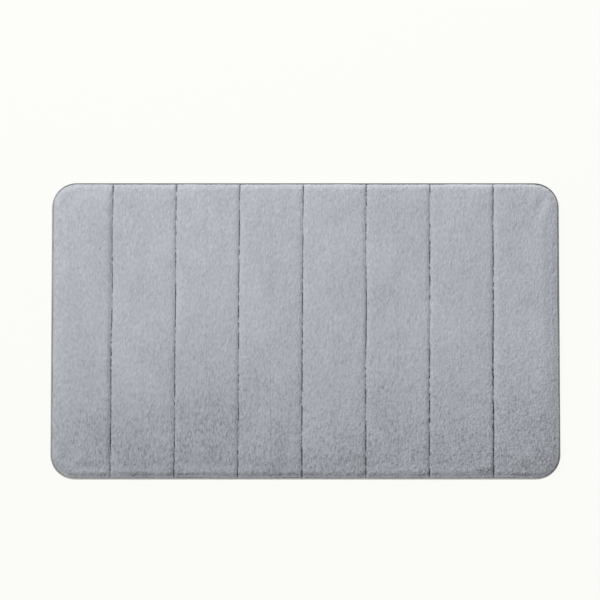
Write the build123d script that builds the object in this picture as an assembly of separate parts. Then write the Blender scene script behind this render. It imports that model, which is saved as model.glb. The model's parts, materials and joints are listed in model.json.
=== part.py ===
from build123d import *
from math import hypot, radians, tan
import os

# A padded bath mat: eight foam channels under one plush cover, on a base cloth with a rubber grip backing.
# The mat rolls up at the seven grooves between its channels, pile inwards, so each channel is a body
# of its own, and each groove is a hinge.
#
# Millimetres. The origin is under the middle of the mat, on the floor. +X runs along the long side,
# across the grooves, +Y along the grooves to the back edge, and +Z up.

# ---- Driving dimensions -----------------------------------------------------------------------------

mat_length = 864.0        # long side, over the edge seam
mat_width = 508.0         # short side, over the edge seam
corner_radius = 42.0      # corner of the outline, over the edge seam

channel_count = 8
groove_pitch = 108.0      # from one groove to the next
groove_offset = -5.0      # how far the set of grooves lies off the middle, along X

grip_height = 0.8         # how far the grip dots stand out under the rubber film that joins them
film_thickness = 0.4      # that film, on the underside of the base cloth
base_thickness = 1.0      # base cloth
foam_thickness = 12.0     # foam core, between the grooves
plush_thickness = 5.0     # knit and pile together, on top of the foam
plush_wall = 2.5          # the same plush pressed flat against the foam, beside a groove
plush_edge = 6.0          # the plush round the foam's outer edge

edge_roll = 12.0          # radius of the plush where it rolls over the rim
foam_roll = 7.0           # the same on the foam inside it
shoulder_radius = 5.0     # rounding of a channel's top beside a groove
foam_shoulder_radius = 3.0

seam_width = 3.0          # overlocked edge seam, outside the plush
seam_height = 3.2
seam_rounding = 1.0

weld_radius = 1.0         # bead of pressed cloth along the bottom of a groove
weld_gap = 0.3            # left between a bead and the channel that turns about it
roll_angle = 40.0         # how far one groove bends when the mat is rolled up, in degrees

dot_radius = 3.0
dot_pitch = 20.0          # wanted distance between grip dots; each row is evened out to fit its length
dot_margin = 9.0          # from a groove's axis, or from the rim, to the middle of the nearest dot

root_channel = 4          # the channel that stays on the floor while the others roll up

# ---- What follows from them -------------------------------------------------------------------------

base_bottom = grip_height + film_thickness
base_top = base_bottom + base_thickness
foam_top = base_top + foam_thickness
mat_height = foam_top + plush_thickness

hinge_height = base_bottom + base_thickness / 2
hinge_setback = weld_radius + weld_gap
wall_lean = tan(radians(roll_angle / 2))

groove_count = channel_count - 1
first_groove = groove_offset - groove_pitch * (groove_count - 1) / 2
groove_places = [first_groove + groove_pitch * number for number in range(groove_count)]

plush_inset = seam_width
foam_inset = plush_inset + plush_edge


def slab(inset, bottom, top, roll=0.0):
    """The mat's whole outline, moved in by inset, between two heights, with its top edge rolled over."""
    outline = RectangleRounded(mat_length - 2 * inset, mat_width - 2 * inset, corner_radius - inset)
    block = Pos(0, 0, bottom) * extrude(outline, amount=top - bottom)
    if roll > 0:
        block = fillet(block.faces().sort_by(Axis.Z)[-1].edges(), min(roll, 0.95 * (top - bottom)))
    return block


def channel_sides(channel):
    """Where the grooves left and right of a channel are; a side with no groove lies past the rim."""
    left = groove_places[channel - 2] if channel > 1 else None
    right = groove_places[channel - 1] if channel < channel_count else None
    return left, right


def channel_strip(channel, setback, bottom, top, shoulder=0.0):
    """A channel's share of the mat, as a bar along Y.

    Its groove walls stand setback off the hinge axis and lean back above it by half the roll angle,
    so that two neighbours stay clear of each other when their groove is rolled up.
    """
    left, right = channel_sides(channel)
    heights = [bottom, top]
    if bottom < hinge_height < top:
        heights.insert(1, hinge_height)

    def wall(groove, side):
        if groove is None:
            return [(side * mat_length, height) for height in heights]
        return [(groove - side * (setback + max(0.0, height - hinge_height) * wall_lean), height)
                for height in heights]

    corners = wall(left, -1) + wall(right, 1)[::-1]
    section = make_face(Polyline(*corners, close=True))
    if shoulder > 0:
        top_corners = [point for point in section.vertices()
                       if abs(point.Y - top) < 0.01 and abs(point.X) < mat_length - 1]
        section = fillet(top_corners, shoulder)
    return extrude(Plane.XZ * section, amount=mat_width, both=True)


def owns_groove(channel, groove):
    """The bead of a groove belongs to the neighbour on the root channel's side."""
    return channel == (groove if groove >= root_channel else groove + 1)


def groove_bead(groove):
    """The pressed bead along the bottom of a groove, on the axis that the groove bends about."""
    length = mat_width - 2 * seam_width
    return Pos(groove_places[groove - 1], 0, hinge_height) * Rot(90, 0, 0) * Cylinder(weld_radius, length)


def plush_cover(channel):
    """The plush over one channel: a cap that reaches down round the foam to the base cloth."""
    cap = plush_blank & channel_strip(channel, hinge_setback, base_top, mat_height, shoulder_radius)
    return cap - foam_core(channel)


def foam_core(channel):
    """The foam of one channel."""
    setback = hinge_setback + plush_wall
    return foam_blank & channel_strip(channel, setback, base_top, foam_top, foam_shoulder_radius)


def base_cloth(channel):
    """The base cloth under one channel. It runs up to the bead that it owns, and stays off the other."""
    left, right = channel_sides(channel)
    cloth = base_blank
    for groove, place, side in ((channel - 1, left, -1), (channel, right, 1)):
        if place is None:
            continue
        end = place if owns_groove(channel, groove) else place - side * hinge_setback
        beyond = Box(2 * mat_length, 2 * mat_width, 4 * base_thickness)
        cloth = cloth - Pos(end + side * mat_length, 0, hinge_height) * beyond
        if owns_groove(channel, groove):
            cloth = cloth - groove_bead(groove)
    return cloth


def edge_seam(channel):
    """The overlocked seam along a channel's stretch of the rim."""
    return seam_blank & channel_strip(channel, hinge_setback, grip_height, grip_height + seam_height)


def evened_row(start, stop):
    """Places from start to stop, both included, about a dot pitch apart."""
    gaps = max(1, round((stop - start) / dot_pitch))
    return [start + (stop - start) * number / gaps for number in range(gaps + 1)]


def on_the_mat(x, y, margin):
    """Whether a point lies at least a margin inside the rounded outline."""
    over_x = max(0.0, abs(x) - (mat_length / 2 - corner_radius))
    over_y = max(0.0, abs(y) - (mat_width / 2 - corner_radius))
    return hypot(over_x, over_y) <= corner_radius - margin


def grip_backing(channel):
    """The rubber under one channel: a thin film with even rows of dots standing out below it."""
    left, right = channel_sides(channel)
    low_x = left if left is not None else -mat_length / 2
    high_x = right if right is not None else mat_length / 2
    rows = evened_row(-mat_width / 2 + dot_margin, mat_width / 2 - dot_margin)
    columns = evened_row(low_x + dot_margin, high_x - dot_margin)
    places = [(x, y) for x in columns for y in rows if on_the_mat(x, y, dot_margin - 0.01)]
    dots = Sketch() + [Pos(x, y, 0) * Circle(dot_radius) for x, y in places]
    film = film_blank & channel_strip(channel, hinge_setback, grip_height, base_bottom)
    return film + extrude(dots, amount=grip_height)


plush_blank = slab(plush_inset, base_top, mat_height, edge_roll)
foam_blank = slab(foam_inset, base_top, foam_top, foam_roll)
base_blank = slab(seam_width, base_bottom, base_top)
film_blank = slab(seam_width, grip_height, base_bottom)
seam_ring = slab(0, grip_height, grip_height + seam_height, seam_rounding)
seam_blank = seam_ring - slab(seam_width, 0, mat_height)

nodes = {}
for channel in range(1, channel_count + 1):
    nodes[f"plush_cover_{channel}"] = plush_cover(channel)
    nodes[f"foam_core_{channel}"] = foam_core(channel)
    nodes[f"base_cloth_{channel}"] = base_cloth(channel)
    nodes[f"grip_backing_{channel}"] = grip_backing(channel)
    nodes[f"edge_seam_{channel}"] = edge_seam(channel)
for groove in range(1, groove_count + 1):
    nodes[f"groove_seam_{groove}"] = groove_bead(groove)

os.makedirs("parts", exist_ok=True)
for name, solid in nodes.items():
    export_step(solid, f"parts/{name}.step")
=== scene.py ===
import json
import math

import bpy
import numpy as np
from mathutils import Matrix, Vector, noise


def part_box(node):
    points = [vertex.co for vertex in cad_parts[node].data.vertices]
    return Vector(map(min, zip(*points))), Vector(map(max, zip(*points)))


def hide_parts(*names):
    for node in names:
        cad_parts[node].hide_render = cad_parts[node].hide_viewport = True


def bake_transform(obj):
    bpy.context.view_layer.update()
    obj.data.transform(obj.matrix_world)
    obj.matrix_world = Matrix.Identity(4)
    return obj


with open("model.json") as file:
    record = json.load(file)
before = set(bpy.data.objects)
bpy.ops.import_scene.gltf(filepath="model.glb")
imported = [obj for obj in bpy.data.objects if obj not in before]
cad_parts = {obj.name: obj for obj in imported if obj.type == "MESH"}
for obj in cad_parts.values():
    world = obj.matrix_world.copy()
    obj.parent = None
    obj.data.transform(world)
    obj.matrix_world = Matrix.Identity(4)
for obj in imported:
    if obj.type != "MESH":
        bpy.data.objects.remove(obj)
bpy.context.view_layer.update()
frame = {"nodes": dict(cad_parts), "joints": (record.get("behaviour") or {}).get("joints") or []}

# A plush bath mat on a pale floor. Metres, in the frame of the CAD part: the mat lies on the floor with its
# grooves along Y, the origin is under its middle, and +Z is up.

GROOVES = [Vector(joint["pos_m"]) for joint in frame["joints"]]
CHANNELS = len(GROOVES) + 1


def reach_of(kind):
    """The lowest and the highest corner of all the CAD nodes of one kind."""
    boxes = [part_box(f"{kind}_{channel}") for channel in range(1, CHANNELS + 1)]
    low = Vector([min(box[0][axis] for box in boxes) for axis in range(3)])
    high = Vector([max(box[1][axis] for box in boxes) for axis in range(3)])
    return low, high


cover_low, cover_high = reach_of("plush_cover")
mat_low, mat_high = reach_of("edge_seam")

MAT_CORNER = 0.042                      # corner of the mat's outline
CORNER_STEPS = 14                       # faces round each corner
SEAM = mat_high.x - cover_high.x        # how wide the edge seam is, outside the plush
CORNER = MAT_CORNER - SEAM              # corner of the plush, inside the edge seam
ROLL = 0.0115                           # radius of the plush's rolled rim
ROLL_STEPS = 6
BEND = 0.012                            # how far either side of a groove the mat bends


# ---- Working with objects -------------------------------------------------------------------------------


def pick_only(piece):
    """Leaves just this piece selected, and makes it the active one."""
    bpy.ops.object.select_all(action="DESELECT")
    piece.select_set(True)
    bpy.context.view_layer.objects.active = piece


def apply_modifiers(piece):
    """Applies the piece's modifiers, in their order."""
    pick_only(piece)
    for modifier in list(piece.modifiers):
        bpy.ops.object.modifier_apply(modifier=modifier.name)


def points_of(piece):
    """The piece's vertices, as rows of x, y, z."""
    flat = np.empty(len(piece.data.vertices) * 3, np.float32)
    piece.data.vertices.foreach_get("co", flat)
    return flat.reshape(-1, 3).astype(float)


def move_points(piece, points):
    """Puts the piece's vertices at these rows of x, y, z."""
    piece.data.vertices.foreach_set("co", points.astype(np.float32).ravel())
    piece.data.update()


def faces_of(piece):
    """Each face's middle and normal, as rows."""
    middles = np.empty(len(piece.data.polygons) * 3, np.float32)
    normals = np.empty(len(piece.data.polygons) * 3, np.float32)
    piece.data.polygons.foreach_get("center", middles)
    piece.data.polygons.foreach_get("normal", normals)
    return middles.reshape(-1, 3), normals.reshape(-1, 3)


def edit_faces(piece, chosen=None):
    """Opens the piece in edit mode with the chosen faces selected, or all of them."""
    pick_only(piece)
    mesh = piece.data
    if chosen is None:
        chosen = np.ones(len(mesh.polygons), bool)
    mesh.vertices.foreach_set("select", np.zeros(len(mesh.vertices), bool))
    mesh.edges.foreach_set("select", np.zeros(len(mesh.edges), bool))
    mesh.polygons.foreach_set("select", chosen)
    bpy.context.tool_settings.mesh_select_mode = (False, False, True)
    bpy.ops.object.mode_set(mode="EDIT")


def edit_edges(piece, chosen):
    """Opens the piece in edit mode with the edges selected whose two ends pass a test."""
    pick_only(piece)
    mesh = piece.data
    mesh.polygons.foreach_set("select", np.zeros(len(mesh.polygons), bool))
    mesh.vertices.foreach_set("select", np.zeros(len(mesh.vertices), bool))
    ends = [(mesh.vertices[a].co, mesh.vertices[b].co) for a, b in (edge.vertices for edge in mesh.edges)]
    mesh.edges.foreach_set("select", np.array([chosen(a, b) for a, b in ends]))
    bpy.context.tool_settings.mesh_select_mode = (False, True, False)
    bpy.ops.object.mode_set(mode="EDIT")


def leave_edit():
    """Back to object mode."""
    bpy.ops.object.mode_set(mode="OBJECT")


def ramp(values, zero, one):
    """0 where the values are at zero, 1 where they are at one, and even steps between."""
    return np.clip((values - zero) / (one - zero), 0, 1)


def outward(points):
    """How far inside the outline of the plush each point is, and the level direction out of it."""
    beyond = np.maximum(np.abs(points[:, :2]) - (np.array(cover_high.xy) - CORNER), 0)
    length = np.hypot(*beyond.T)
    way = np.sign(points[:, :2]) * beyond / np.maximum(length, 1e-9)[:, None]
    return CORNER - length, way


def off_groove(x):
    """How far off the nearest groove each x is."""
    return np.abs(np.stack([x - groove.x for groove in GROOVES])).min(0)


# ---- The padded cover -----------------------------------------------------------------------------------

PUFF = 0.0022             # how far the foam swells between the grooves
SPLAY = 0.0005            # how far the pile of the rim leans out over the edge seam
VOXEL = 0.0045            # mesh size of the cloth
UNDERSIDE = cover_low.z + 0.001   # the flat underside lies below this height
PILE_FROM = cover_low.z + 0.002   # the pile starts above this height
RIM_BAND = 0.012          # how far inside the outline the pile of the rim reaches
RIM_FROM = 0.009          # height from which the pile of the rim is shaggier
FINE_MESH = 0.006         # how far either side of a groove the mesh is finest
SIM_FRAMES = 20
PRESSURE = 4
HEM = 0.004               # how much of the cover's lower edge the seam holds
HELD_BY_GROOVE = 0.0035   # how far either side of a groove it holds the cloth
SWELL_FADE = (0.004, 0.034)   # inside the rim, where the swelling starts and where it is full


def cover_blank():
    """A slab with rounded corners and a rolled top edge."""
    low = cover_low
    high = Vector((cover_high.x, cover_high.y, cover_high.z - PUFF))
    bpy.ops.object.select_all(action="DESELECT")
    bpy.ops.mesh.primitive_cube_add(size=1, location=(low + high) / 2, scale=high - low)
    blank = bpy.context.object
    blank.name = "plush"
    bpy.ops.object.transform_apply(location=True, rotation=True, scale=True)
    edit_edges(blank, lambda a, b: abs(a.z - b.z) > 0.5 * (high.z - low.z))
    bpy.ops.mesh.bevel(offset=CORNER, offset_type="OFFSET", segments=CORNER_STEPS, affect="EDGES")
    leave_edit()
    edit_edges(blank, lambda a, b: min(a.z, b.z) > high.z - 1e-4)
    bpy.ops.mesh.bevel(offset=ROLL, offset_type="OFFSET", segments=ROLL_STEPS, affect="EDGES")
    leave_edit()
    return blank


def swell(cover):
    """Remeshes the cover and lets cloth simulation swell it between the grooves, which hold it down."""
    pick_only(cover)
    cover.data.remesh_voxel_size = VOXEL
    bpy.ops.object.voxel_remesh()
    start = points_of(cover)
    pinned = (start[:, 2] < cover_low.z + HEM) | (off_groove(start[:, 0]) < HELD_BY_GROOVE)
    held = cover.vertex_groups.new(name="held")
    held.add([int(n) for n in np.nonzero(pinned)[0]], 1.0, "REPLACE")
    cloth = cover.modifiers.new("Cloth", "CLOTH")
    cloth.settings.vertex_group_mass = "held"
    cloth.settings.use_pressure = True
    cloth.settings.uniform_pressure_force = PRESSURE
    cloth.settings.effector_weights.gravity = 0
    cloth.settings.quality = 4
    cloth.point_cache.frame_start, cloth.point_cache.frame_end = 1, SIM_FRAMES
    for number in range(1, SIM_FRAMES + 1):
        bpy.context.scene.frame_set(number)
    apply_modifiers(cover)
    bpy.context.scene.frame_set(1)
    inside, _ = outward(start)
    moved = (points_of(cover) - start) * ramp(inside, *SWELL_FADE)[:, None]
    length = np.maximum(np.linalg.norm(moved, axis=1), 1e-9)
    move_points(cover, start + moved * np.minimum(1, PUFF / length)[:, None])
    cover.vertex_groups.clear()


GROOVE_FLOOR = 0.0046     # height of a groove's bottom
GROOVE_HALF = 0.0009      # half its width at the top, at the first groove
GROOVE_WIDER = 0.00004    # how much that grows from one groove to the next
GROOVE_LEAN = 0.0028      # how far a groove's front end lies to the left of its back end
GROOVE_REACH = 0.02       # how far either side of a groove the cover is shaped by it
SHOULDER_DROP = 0.0023    # how far the cover sinks beside a groove
SHOULDER_WIDTH = 0.0036
PRESSED_FROM = 0.003      # height over the cover's lower edge from which it is pressed in
CLOSED_LEAST, CLOSED_MOST = 0.1, 0.93     # how far the pile closes over a groove


def drift(y, grain, lane, layer):
    """Smooth noise along a groove, about -1 to 1; the larger the grain, the faster it changes."""
    return np.array([noise.noise(Vector((v * grain, lane, layer))) for v in y])


def groove_lines(y, number):
    """How a groove wanders along its length, its half width, and how far the pile has closed over it."""
    sway = drift(y, 9, number * 3.1, 0)
    wobble = drift(y, 110, number * 9.1, 2)
    fine = drift(y, 160, number * 7.7, 5)
    coarse = drift(y, 30, number * 5.3, 9)
    length = cover_high.y - cover_low.y
    line = sway * 0.0012 + wobble * 0.0005 + GROOVE_LEAN * y / length
    half = (GROOVE_HALF + GROOVE_WIDER * number) * np.clip(1 + 0.6 * fine + 0.7 * coarse, 0.35, 1.6)
    # The last groove is the widest open, and every groove opens towards the front
    last = (number + 1) // len(GROOVES)
    to_front = 0.5 - y / length
    share = 0.78 - (0.16 + 0.22 * last) * to_front - 0.10 * last + 0.9 * coarse + 0.7 * fine
    at_rim = ramp(np.abs(y), cover_high.y - 0.014, cover_high.y - 0.008)
    closed = np.clip(share, CLOSED_LEAST, CLOSED_MOST) * (1 - at_rim)
    return line, half, closed


def press_grooves(cover):
    """Presses the grooves down into the cover, with soft shoulders."""
    points = points_of(cover)
    top = points[:, 2] > cover_low.z + PRESSED_FROM
    for number, groove in enumerate(GROOVES):
        near = top & (np.abs(points[:, 0] - groove.x) < GROOVE_REACH)
        x, y, z = points[near].T
        line, half, closed = groove_lines(y, number)
        off = np.abs(x - groove.x - line)
        share = ramp(off, 1.2 * half, 0.3 * half)
        wall = share * share * (3 - 2 * share) * (1 - closed)
        shoulder = SHOULDER_DROP * np.exp(-((off / SHOULDER_WIDTH) ** 1.5))
        floor = np.minimum(z, GROOVE_FLOOR)
        points[near, 2] = (z - shoulder) * (1 - wall) + floor * wall
    move_points(cover, points)


def refine(cover, chosen):
    """Halves the chosen faces each way."""
    edit_faces(cover, chosen)
    bpy.ops.mesh.subdivide(number_cuts=1, smoothness=0)
    leave_edit()


# The pile's layers: size of a clump, how many times as long along the mat's grooves, its lean in degrees,
# its height, and the group of vertices that has it
PILE_LAYERS = (
    ("brushed", 0.045, 1.5, 0, 0.0014, "pile"),
    ("combed", 0.0026, 3.2, 7, 0.0011, "pile"),
    ("crossed", 0.0034, 2.0, -24, 0.0008, "pile"),
    ("tips", 0.0016, 1.8, 12, 0.0006, "pile"),
    ("ruffled", 0.0029, 1.2, 35, 0.0022, "ruffled"),
    ("shaggy", 0.0060, 1.2, 0, 0.0018, "rim"),
)


def clouds(name, size):
    """Soft lumps of this size, for a Displace modifier."""
    texture = bpy.data.textures.new(name, "CLOUDS")
    texture.noise_scale = size
    texture.noise_depth = 2
    return texture


def raise_pile(cover):
    """Works the pile's clumps into the surface. Each layer's comb stretches its lumps and leans them."""
    for name, size, stretch, lean, height, group in PILE_LAYERS:
        comb = bpy.data.objects.new(f"{name} comb", None)
        bpy.context.collection.objects.link(comb)
        comb.scale = (1, stretch, 1)
        comb.rotation_euler = (0, 0, math.radians(lean))
        lift = cover.modifiers.new(name, "DISPLACE")
        lift.texture = clouds(name, size)
        lift.texture_coords = "OBJECT"
        lift.texture_coords_object = comb
        lift.strength = height
        lift.mid_level = 0.5
        lift.vertex_group = group
    bpy.context.view_layer.update()
    apply_modifiers(cover)
    for name, *_ in PILE_LAYERS:
        bpy.data.objects.remove(bpy.data.objects[f"{name} comb"])


def add_group(piece, name, weights):
    """A vertex group with a weight for each vertex, in tenths."""
    group = piece.vertex_groups.new(name=name)
    tenths = np.round(np.clip(weights, 0, 1) * 10).astype(int)
    for tenth in range(1, 11):
        group.add([int(n) for n in np.nonzero(tenths == tenth)[0]], tenth / 10, "REPLACE")


def mark_pile(cover):
    """Groups for the pile: all of it, the shaggier pile along the rim, and the pile that is ruffled."""
    points = points_of(cover)
    x, y, z = points.T
    inside, _ = outward(points)
    piled = z > PILE_FROM
    add_group(cover, "pile", piled * 1.0)
    add_group(cover, "rim", (inside < RIM_BAND) & (z > RIM_FROM))
    to_front_right = x / cover_high.x - 1.5 * y / cover_high.y
    add_group(cover, "ruffled", piled * (0.15 + 0.35 * to_front_right))


def splay_rim(cover):
    """Leans the pile of the rim out over the edge seam."""
    points = points_of(cover)
    inside, way = outward(points)
    z = points[:, 2]
    lean = ramp(z, 0.0045, 0.0075) * ramp(z, 0.016, 0.010) * (inside < RIM_BAND)
    points[:, :2] += way * (SPLAY * lean)[:, None]
    move_points(cover, points)


def flatten_underside(cover):
    """Merges the flat underside's faces, away from where the mat bends."""
    middles, normals = faces_of(cover)
    flat = (normals[:, 2] < -0.99) & (middles[:, 2] < UNDERSIDE)
    edit_faces(cover, flat & (off_groove(middles[:, 0]) > BEND + 0.002))
    bpy.ops.mesh.dissolve_limited(angle_limit=math.radians(1))
    leave_edit()


def make_cover():
    """The whole plush cover, with its grooves and its pile."""
    cover = cover_blank()
    swell(cover)
    smooth = cover.modifiers.new("smooth", "SUBSURF")
    smooth.levels = smooth.render_levels = 1
    apply_modifiers(cover)
    middles, _ = faces_of(cover)
    refine(cover, middles[:, 2] > UNDERSIDE)
    middles, _ = faces_of(cover)
    refine(cover, (off_groove(middles[:, 0]) < FINE_MESH) & (middles[:, 2] > cover_low.z + PRESSED_FROM))
    flatten_underside(cover)
    splay_rim(cover)
    press_grooves(cover)
    mark_pile(cover)
    raise_pile(cover)
    return cover


# ---- Cutting pieces at the channels' middles, one for each groove -----------------------------------------


def cut_at(piece, x, keep_right):
    """Cuts the piece off at x and closes the cut."""
    edit_faces(piece)
    bpy.ops.mesh.bisect(plane_co=(x, 0, 0), plane_no=(1, 0, 0), use_fill=True,
                        clear_inner=keep_right, clear_outer=not keep_right)
    leave_edit()


def split_at(piece, places):
    """Splits the piece at each x in places, and gives the pieces from left to right."""
    if not places:
        return [piece]
    middle = len(places) // 2
    right = piece.copy()
    right.data = piece.data.copy()
    bpy.context.collection.objects.link(right)
    cut_at(piece, places[middle], False)
    cut_at(right, places[middle], True)
    return split_at(piece, places[:middle]) + split_at(right, places[middle + 1:])


def split_by_groove(whole, name):
    """One piece for each groove, from the middle of one channel to the middle of the next."""
    pieces = split_at(whole, [(a.x + b.x) / 2 for a, b in zip(GROOVES, GROOVES[1:])])
    for number, piece in enumerate(pieces, 1):
        piece.name = f"{name}_{number}"
    return pieces


def bend_over_grooves(pieces, slot, *kinds):
    """Each piece stands for its share of the CAD nodes of these kinds, which are hidden; its placement is
    baked into its mesh.
    """
    for number, (piece, groove) in enumerate(zip(pieces, GROOVES), 1):
        f"channel_{number + 1}"
        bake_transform(piece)
        channels = (number, CHANNELS) if number == len(GROOVES) else (number,)
        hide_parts(*[f"{kind}_{channel}" for channel in channels for kind in kinds])


# ---- The edge seam and the stitches ---------------------------------------------------------------------

BINDING_ROUNDING = 0.0009
BEND_LINES = 3            # lines either side of a groove where the binding bends
STITCH_PITCH = 0.0026     # between overlock stitches
YARN = 0.30               # thickness of the overlock yarn, as a share of its loop's radius
LOOP_REACH = 0.00100 + SEAM / 8     # half the size of a loop, across the seam
LOOP_LENGTH = 0.0011                # the same, along it
LOOP_HEIGHT = 0.93                  # its height, as a share of the seam's
STITCH_SLANT = 0.35
THREAD_PITCH = 0.0042     # between the stitches along a groove
THREAD_SIZE = (0.0006, 0.0018, 0.0005)
THREAD_LIFT = 0.0004      # how high a stitch's middle lies over the groove's bottom
THREAD_END = 0.012        # from the plush's outline to the first stitch


def make_binding():
    """The rolled edge of the base cloth, a rounded strip all round the mat."""
    size = mat_high - mat_low
    bpy.ops.object.select_all(action="DESELECT")
    bpy.ops.mesh.primitive_plane_add(size=1, location=(0, 0, mat_low.z))
    binding = bpy.context.object
    binding.name = "binding"
    binding.scale = (size.x, size.y, 1)
    bpy.ops.object.transform_apply(location=True, rotation=True, scale=True)
    edit_faces(binding)
    bpy.ops.mesh.bevel(offset=MAT_CORNER, offset_type="OFFSET", segments=CORNER_STEPS, affect="VERTICES")
    bpy.ops.mesh.inset(thickness=SEAM)
    bpy.ops.mesh.delete(type="FACE")
    leave_edit()
    wall = binding.modifiers.new("wall", "SOLIDIFY")
    wall.thickness = size.z
    wall.offset = 1
    round_off = binding.modifiers.new("round", "BEVEL")
    round_off.width = BINDING_ROUNDING
    round_off.segments = 3
    round_off.limit_method = "ANGLE"
    apply_modifiers(binding)
    for groove in GROOVES:
        for step in range(-BEND_LINES, BEND_LINES + 1):
            edit_faces(binding)
            bpy.ops.mesh.bisect(plane_co=(groove.x + step * BEND / BEND_LINES, 0, 0), plane_no=(1, 0, 0))
            leave_edit()
    return binding


RIM_RADIUS = CORNER + SEAM / 2            # corner of the edge seam's middle line
RIM_HALF = (mat_high.x - SEAM / 2, mat_high.y - SEAM / 2)
RIM_RUNS = [2 * (half - RIM_RADIUS) for half in RIM_HALF]
RIM_ARC = math.pi / 2 * RIM_RADIUS
RIM_LENGTH = 2 * sum(RIM_RUNS) + 4 * RIM_ARC


def rim_place(along):
    """A place on the middle line of the edge seam: its point, and the way out from the mat there."""
    for turn in range(4):
        angle = turn * math.pi / 2
        run, across = RIM_RUNS[turn % 2], RIM_HALF[1 - turn % 2]
        ahead = Vector((math.cos(angle), math.sin(angle), 0))
        out = Vector((math.sin(angle), -math.cos(angle), 0))
        if along < run:
            return out * across + ahead * (along - run / 2), out
        along -= run
        if along < RIM_ARC:
            swing = along / RIM_RADIUS
            centre = out * (across - RIM_RADIUS) + ahead * (run / 2)
            way = out * math.cos(swing) + ahead * math.sin(swing)
            return centre + way * RIM_RADIUS, way
        along -= RIM_ARC
    return rim_place(0)


def repeat(name, pattern, places):
    """Copies of a small pattern, one for each (point, x axis, y axis, z axis), as one mesh."""
    shape = points_of(pattern)
    faces = [tuple(face.vertices) for face in pattern.data.polygons]
    points, every = [], []
    for point, side, ahead, up in places:
        base = len(points)
        turned = shape @ np.array([side, ahead, up]) + np.array(point)
        points.extend(turned.tolist())
        every.extend(tuple(base + corner for corner in face) for face in faces)
    mesh = bpy.data.meshes.new(name)
    mesh.from_pydata(points, [], every)
    made = bpy.data.objects.new(name, mesh)
    bpy.context.collection.objects.link(made)
    bpy.data.objects.remove(pattern)
    return made


def make_overlock():
    """The yarn that is wound over the edge, stitch by stitch."""
    bpy.ops.object.select_all(action="DESELECT")
    bpy.ops.mesh.primitive_torus_add(major_radius=1, minor_radius=YARN, major_segments=12, minor_segments=5,
                                     rotation=(math.pi / 2, 0, 0))
    loop = bpy.context.object
    loop.scale = (LOOP_REACH, LOOP_LENGTH, (mat_high.z - mat_low.z) / 2 * LOOP_HEIGHT)
    bpy.ops.object.transform_apply(location=True, rotation=True, scale=True)
    middle = Vector((0, 0, (mat_low.z + mat_high.z) / 2))
    count = round(RIM_LENGTH / STITCH_PITCH)
    places = []
    for number in range(count):
        point, out = rim_place(number * RIM_LENGTH / count)
        ahead = Vector((-out.y, out.x, 0))
        places.append((point + middle, out, ahead, Vector((0, 0, 1)) + ahead * STITCH_SLANT))
    return repeat("overlock", loop, places)


def make_groove_threads():
    """The stitches along the bottom of each groove, as one mesh."""
    bpy.ops.object.select_all(action="DESELECT")
    bpy.ops.mesh.primitive_uv_sphere_add(segments=6, ring_count=5, radius=1)
    thread = bpy.context.object
    thread.scale = THREAD_SIZE
    bpy.ops.object.transform_apply(location=True, rotation=True, scale=True)
    reach = cover_high.y - THREAD_END
    along = np.linspace(-reach, reach, int(2 * reach / THREAD_PITCH))
    places = []
    for number, groove in enumerate(GROOVES):
        line, _, _ = groove_lines(along, number)
        for y, aside in zip(along, line):
            point = Vector((groove.x + aside, y, GROOVE_FLOOR + THREAD_LIFT))
            places.append((point, (1, 0, 0), (0, 1, 0), (0, 0, 1)))
    return repeat("groove threads", thread, places)


# ---- Materials ------------------------------------------------------------------------------------------


class Signal:
    """A socket's value, with the arithmetic that the materials use."""

    def __init__(self, graph, socket):
        self.graph, self.socket = graph, socket

    def math(self, operation, first, second=0.0):
        return self.graph.node("ShaderNodeMath", {"operation": operation}, {0: first, 1: second})

    def __add__(self, other):
        return self.math("ADD", self, other)

    def __sub__(self, other):
        return self.math("SUBTRACT", self, other)

    def __rsub__(self, other):
        return self.math("SUBTRACT", other, self)

    def __mul__(self, other):
        return self.math("MULTIPLY", self, other)

    def __abs__(self):
        return self.math("ABSOLUTE", self)

    __radd__, __rmul__ = __add__, __mul__

    def at_least(self, low):
        return self.math("MAXIMUM", self, low)

    def root(self):
        return self.math("SQRT", self)


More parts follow.
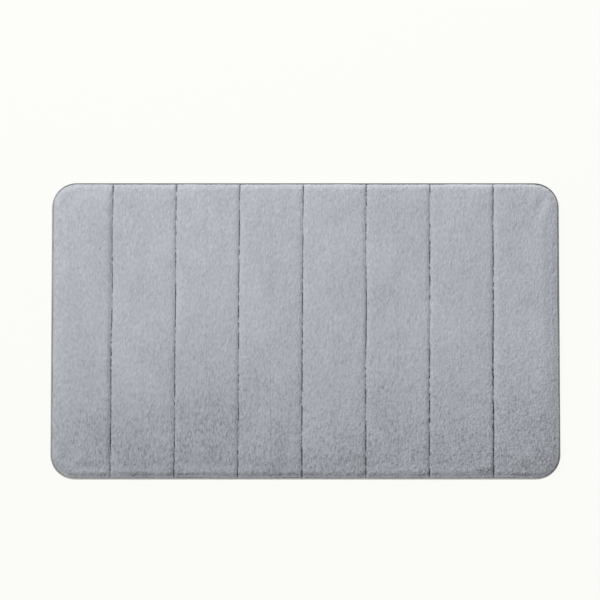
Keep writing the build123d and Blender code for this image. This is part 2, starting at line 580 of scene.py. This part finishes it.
class Graph:
    """A material's nodes."""

    def __init__(self, name):
        self.material = bpy.data.materials.new(name)
        self.material.use_nodes = True
        self.tree = self.material.node_tree
        self.surface = self.tree.nodes["Principled BSDF"]

    def node(self, kind, settings=None, inputs=None, output=0):
        """Adds a node: its settings first, then the values or links of its sockets. Returns one output."""
        made = self.tree.nodes.new(kind)
        for name, value in (settings or {}).items():
            if name == "stops":
                self.set_stops(made.color_ramp, value)
            else:
                setattr(made, name, value)
        for name, value in (inputs or {}).items():
            self.feed(made.inputs[name], value)
        return Signal(self, made.outputs[output])

    def set_stops(self, colour_ramp, stops):
        """The places and colours of a colour ramp."""
        while len(colour_ramp.elements) < len(stops):
            colour_ramp.elements.new(1.0)
        for element, (place, colour) in zip(colour_ramp.elements, stops):
            element.position, element.color = place, (*colour, 1)

    def feed(self, socket, value):
        """Links a signal to the socket, or sets the socket's value."""
        if isinstance(value, Signal):
            self.tree.links.new(value.socket, socket)
        else:
            socket.default_value = value

    def clamped(self, value):
        return self.node("ShaderNodeClamp", None, {"Value": value})

    def fade(self, value, zero, one):
        """0 where the value is at zero, 1 where it is at one, and even steps between."""
        return self.clamped((value - zero) * (1 / (one - zero)))

    def axes(self, place):
        """The X, Y and Z of a place."""
        parts = self.node("ShaderNodeSeparateXYZ", None, {"Vector": place}).socket.node
        return [Signal(self, parts.outputs[axis]) for axis in "XYZ"]

    def from_rim(self, across, along):
        """How far inside the outline of the plush a place is."""
        x, y = [(abs(offset) - reach).at_least(0.0)
                for offset, reach in ((across, cover_high.x - CORNER), (along, cover_high.y - CORNER))]
        return CORNER - (x * x + y * y).root()

    def place(self, scale=(1, 1, 1), turn=(0, 0, 0)):
        """Object coordinates, turned and scaled."""
        where = self.node("ShaderNodeTexCoord", output="Object")
        return self.node("ShaderNodeMapping", None, {"Vector": where, "Scale": scale, "Rotation": turn})

    def noise(self, vector, size, detail=2.0, roughness=0.5, distortion=0.0):
        inputs = {"Vector": vector, "Scale": 1 / size, "Detail": detail, "Roughness": roughness,
                  "Distortion": distortion}
        return self.node("ShaderNodeTexNoise", None, inputs)

    def mix(self, factor, first, second):
        """A colour between two."""
        ends = {0: factor, 6: first, 7: second}
        return self.node("ShaderNodeMix", {"data_type": "RGBA", "blend_type": "MIX"}, ends, output=2)

    def bump(self, height, distance, strength=1.0):
        inputs = {"Height": height, "Distance": distance, "Strength": strength}
        return self.node("ShaderNodeBump", None, inputs)

    def finish(self, **sockets):
        """Sets or feeds the surface's sockets, and gives the material."""
        for name, value in sockets.items():
            self.feed(self.surface.inputs[name.replace("_", " ")], value)
        return self.material


def opaque(red, green, blue):
    """An opaque colour."""
    return red, green, blue, 1


# The plush's colours, from the painted shade deep between the fibres to their tips
PLUSH_SHADES = (
    (0.0, (0.15, 0.158, 0.176)),
    (0.33, (0.37, 0.385, 0.419)),
    (0.5, (0.425, 0.441, 0.479)),
    (0.8, (0.53, 0.547, 0.588)),
)
PLUSH_LEVEL = 0.452
# Where the pile is matted, beside the last groove's front end
TUFT = (GROOVES[-1].x - 0.015, -0.2405)
TUFT_SIZE = (0.01613, 0.00588)


def plush_material():
    """Combed pile: streaks along the grooves, patches where it was stroked, rougher at the front right, with
    painted light and shade.
    """
    graph = Graph("plush pile")
    place = graph.node("ShaderNodeTexCoord", output="Object")
    across, along, height = graph.axes(place)

    stroked = graph.noise(graph.place(scale=(1, 0.7, 1)), 0.12, 2, 0.5, 0.6) - 0.5
    blotch = graph.noise(graph.place(scale=(1, 0.6, 1)), 0.030, 3, 0.55, 0.3) - 0.5
    combed = graph.noise(graph.place(scale=(1, 0.28, 1), turn=(0, 0, 0.12)), 0.0022, 3, 0.65) - 0.5
    crossed = graph.noise(graph.place(scale=(1, 0.45, 1), turn=(0, 0, -0.4)), 0.0032, 3, 0.6) - 0.5
    ruffled = graph.noise(place, 0.0026, 2, 0.65) - 0.5
    fibres = graph.noise(graph.place(scale=(1, 0.3, 1), turn=(0, 0, 0.1)), 0.0011, 2, 0.6)

    # Where on the mat a place is, 0 to 1
    # front grows towards the front edge, where the pile is painted darker as shade
    front = graph.fade(along, 0, -0.27778)
    front_right = graph.clamped(across * 0.9 - along * 2.2 + stroked * 1.4)
    roll = graph.fade(height, 0.009, 0.014)
    # The top of the front roll, painted darker as shade, with rougher, blotchier pile
    shaded_front_roll = graph.fade(along, -0.242667, -0.249333) * roll
    off_front = graph.fade(along, -0.245, -0.228333)
    # The band just inside the outline, painted lighter as a highlight
    rim = graph.fade(graph.from_rim(across, along), 0.007222, 0.001667) * off_front
    x, y = [(offset - middle) * (1 / size) for offset, middle, size in zip((across, along), TUFT, TUFT_SIZE)]
    tuft = graph.fade((x * x + y * y).root(), 1.3, 0.3)

    # How light the pile is there: its own streaks and patches, and painted light and shade
    nap = combed * 0.85 + crossed * 0.42
    rough = ruffled * (front_right * 0.85 + shaded_front_roll * 0.9 + tuft)
    patches = blotch * (shaded_front_roll * 0.8 + 0.22) + stroked * 0.23
    # Painted light along the front edge, strongest low on the front of the roll
    painted_front_light = (1 - off_front) * (0.39 - roll * 0.29)
    # Painted highlight along the rim, stronger towards the right; painted light on the front edge; painted
    # shade towards the front, over the top of the front roll and towards the right. The matted patch is
    # darker.
    shade = rim * (across * 0.40 + 0.12) + painted_front_light - front * 0.21 - shaded_front_roll * 0.15 - tuft * 0.24 - across * 0.05
    tone_and_painted_light = nap + rough + patches + shade + PLUSH_LEVEL

    colour = graph.node("ShaderNodeValToRGB", {"stops": PLUSH_SHADES}, {"Fac": tone_and_painted_light})
    normal = graph.bump(nap * 0.5 + fibres * 0.5, 0.0008, 0.6)
    return graph.finish(Base_Color=colour, Roughness=0.95, Normal=normal, Sheen_Weight=0.3,
                        Sheen_Roughness=0.45, Specular_IOR_Level=0.12)


WEAVE = 0.0011            # from one thread of a plain weave to the next


def cloth_material(name, colour):
    """A plain weave, a little worn in patches."""
    graph = Graph(name)
    inputs = {"Vector": graph.place(), "Scale": 0.31 / WEAVE}
    across, down = [graph.node("ShaderNodeTexWave", {"bands_direction": way}, inputs, output="Fac")
                    for way in "XY"]
    weave = across * down
    dark, worn = [opaque(*(share * part for part in colour)) for share in (0.6, 1.25)]
    tint = graph.mix(weave, dark, opaque(*colour))
    tint = graph.mix(graph.noise(graph.place(), 0.03, 3) * 0.35, tint, worn)
    normal = graph.bump(weave, 0.0004, 0.6)
    return graph.finish(Base_Color=tint, Roughness=0.9, Normal=normal, Sheen_Weight=0.15)


def seam_material():
    """Overlock yarn, with painted shade along the back edge and painted light along the front."""
    graph = Graph("seam yarn")
    place = graph.place()
    _, along, _ = graph.axes(place)
    # The yarn gets painted shade along the back edge and painted light along the front
    back = graph.fade(along, 0.225, 0.25)
    front = graph.fade(along, -0.24, -0.256667)
    strands = graph.noise(place, 0.0010, 2, 0.6)
    yarn = graph.mix(strands, opaque(0.29, 0.288, 0.286), opaque(0.43, 0.427, 0.424))
    # Painted light along the front
    yarn = graph.mix(front, yarn, opaque(0.68, 0.675, 0.665))
    # Painted shade along the back edge
    yarn = graph.mix(back, yarn, opaque(0.12, 0.12, 0.124))
    normal = graph.bump(strands, 0.0003, 0.6)
    return graph.finish(Base_Color=yarn, Roughness=0.9, Normal=normal, Sheen_Weight=0.15)


def rubber_material():
    """Soft grey rubber, slightly mottled."""
    graph = Graph("grip rubber")
    fine = graph.noise(graph.place(), 0.0012, 2)
    broad = graph.noise(graph.place(), 0.04, 2)
    colour = graph.mix(broad, opaque(0.20, 0.205, 0.22), opaque(0.27, 0.275, 0.29))
    return graph.finish(Base_Color=colour, Roughness=fine * 0.25 + 0.45, Normal=graph.bump(fine, 0.0002, 0.4))


def foam_material():
    """Open-cell foam."""
    graph = Graph("foam")
    cells = graph.node("ShaderNodeTexVoronoi", {}, {"Vector": graph.place(), "Scale": 900.0})
    colour = graph.mix(cells, opaque(0.62, 0.56, 0.40), opaque(0.80, 0.75, 0.60))
    return graph.finish(Base_Color=colour, Roughness=0.9, Normal=graph.bump(cells, 0.0005, 0.6))


def give(piece, material):
    """Makes this the piece's only material."""
    piece.data.materials.clear()
    piece.data.materials.append(material)


# ---- The room -------------------------------------------------------------------------------------------

FLOOR_SIZE = 30
FLOOR_GLOW = 0.955        # the floor shines, as paper does that is lit to white
WORLD_LIGHT = 0.385


def add_strip(name, place, size, power):
    """A soft rectangular lamp aimed at the mat."""
    light = bpy.data.lights.new(name, "AREA")
    light.shape, light.size, light.size_y = "RECTANGLE", size[0], size[1]
    light.energy = power
    lamp = bpy.data.objects.new(name, light)
    bpy.context.collection.objects.link(lamp)
    lamp.location = place
    lamp.rotation_euler = (-Vector(place)).to_track_quat("-Z", "Y").to_euler()
    lamp.visible_camera = False


def add_window(name, way, angle, power):
    """A far, soft light that shines along a direction."""
    light = bpy.data.lights.new(name, "SUN")
    light.energy, light.angle = power, math.radians(angle)
    lamp = bpy.data.objects.new(name, light)
    bpy.context.collection.objects.link(lamp)
    lamp.rotation_euler = Vector(way).to_track_quat("-Z", "Y").to_euler()


def make_room():
    """A pale floor, an even sky, windows left and right of the mat and a strip of light behind it."""
    bpy.ops.object.select_all(action="DESELECT")
    bpy.ops.mesh.primitive_plane_add(size=FLOOR_SIZE)
    floor = bpy.context.object
    floor.name = "floor"
    graph = Graph("pale floor")
    give(floor, graph.finish(Base_Color=opaque(0.045, 0.045, 0.045), Roughness=1.0, Specular_IOR_Level=0.0,
                             Emission_Color=opaque(0.968, 0.978, 0.936), Emission_Strength=FLOOR_GLOW))
    world = bpy.data.worlds.new("studio")
    world.use_nodes = True
    world.node_tree.nodes["Background"].inputs["Color"].default_value = opaque(1, 1, 1)
    world.node_tree.nodes["Background"].inputs["Strength"].default_value = WORLD_LIGHT
    bpy.context.scene.world = world
    add_strip("back strip", (-0.3, 1.25, 0.9), (2.2, 0.5), 14)
    add_window("left window", (1, -0.2, -0.85), 25, 1.5)
    add_window("right window", (-1, -0.5, -0.8), 50, 0.35)
    bpy.context.scene.view_settings.view_transform = "Standard"


def make_camera():
    """A long lens, a little off straight above."""
    elevation = math.radians(82)
    distance = 9.0
    frame_width = 1.020
    aim = Vector((-0.0092, 0.052, 0.009))
    data = bpy.data.cameras.new("camera")
    data.sensor_width = 36
    data.lens = data.sensor_width * distance / frame_width
    data.clip_end = FLOOR_SIZE + distance + 1
    camera = bpy.data.objects.new("camera", data)
    bpy.context.collection.objects.link(camera)
    back = Vector((0, -math.cos(elevation), math.sin(elevation)))
    camera.location = aim + back * distance
    camera.rotation_euler = (-back).to_track_quat("-Z", "Y").to_euler()
    bpy.context.scene.camera = camera


# ---- The mat --------------------------------------------------------------------------------------------


def dress(pieces, material, crease=None):
    """Gives the pieces a material and smooth shading, up to a crease angle if there is one."""
    for piece in pieces:
        give(piece, material)
        pick_only(piece)
        if crease is None:
            bpy.ops.object.shade_smooth()
        else:
            bpy.ops.object.shade_smooth_by_angle(angle=math.radians(crease))


make_camera()
make_room()

plush_pieces = split_by_groove(make_cover(), "plush")
dress(plush_pieces, plush_material())
bend_over_grooves(plush_pieces, "plush", "plush_cover")

seam_yarn = seam_material()
binding_pieces = split_by_groove(make_binding(), "binding")
dress(binding_pieces, seam_yarn, crease=40)
bend_over_grooves(binding_pieces, "seam_thread", "edge_seam")
overlock_pieces = split_by_groove(make_overlock(), "overlock")
dress(overlock_pieces, seam_yarn, crease=40)
bend_over_grooves(overlock_pieces, "seam_thread")

weld = cloth_material("pressed seam", (0.10, 0.105, 0.115))
thread_pieces = split_by_groove(make_groove_threads(), "groove_stitches")
dress(thread_pieces, weld)
bend_over_grooves(thread_pieces, "groove_weld")

HIDDEN_LAYERS = {
    "base_cloth": cloth_material("base cloth", (0.16, 0.165, 0.18)),
    "grip_backing": rubber_material(),
    "foam_core": foam_material(),
    "groove_seam": weld,
}
for name, node in frame["nodes"].items():
    kind = name.rsplit("_", 1)[0]
    if kind in HIDDEN_LAYERS:
        give(node, HIDDEN_LAYERS[kind])
